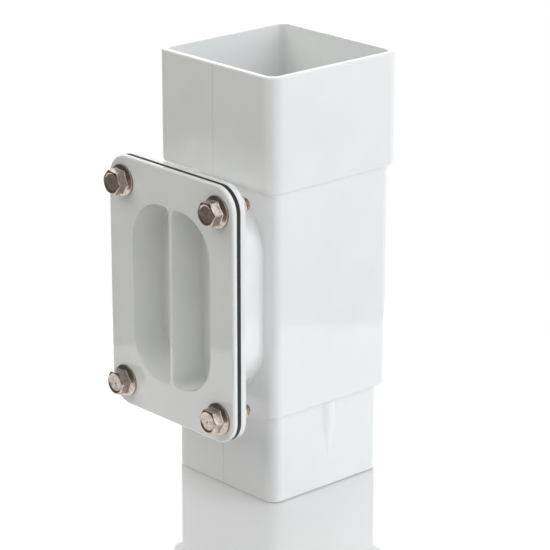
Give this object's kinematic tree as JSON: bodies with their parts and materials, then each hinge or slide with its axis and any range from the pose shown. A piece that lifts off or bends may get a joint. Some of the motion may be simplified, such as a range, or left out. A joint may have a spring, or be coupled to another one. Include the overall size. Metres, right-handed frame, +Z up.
{
  "type": "downpipe access pipe",
  "caption": "Square rainwater pipe piece with a socket on top, a spigot below and a bolted access cover with a gasket, to reach the inside for rodding.",
  "frame": {"origin": "middle of the spigot's lower end, on the pipe's axis", "axes": "+Z up along the pipe, towards the socket; -Y towards the access cover; +X to the right, seen from the cover's side"},
  "size_m": [0.081, 0.1062, 0.1931],
  "materials": {
    "white_pvc": "smooth glossy white moulded PVC",
    "black_rubber": "matt black sheet rubber",
    "stainless_steel": "bright stainless steel, cold formed"
  },
  "bodies": {
    "root": {"pipe_body": "white_pvc", "access_cover": "white_pvc", "gasket": "black_rubber", "bolt_top_left": "stainless_steel", "bolt_top_right": "stainless_steel", "bolt_bottom_left": "stainless_steel", "bolt_bottom_right": "stainless_steel", "nut_top_left": "stainless_steel", "nut_top_right": "stainless_steel", "nut_bottom_left": "stainless_steel", "nut_bottom_right": "stainless_steel"}
  },
  "joints": []
}
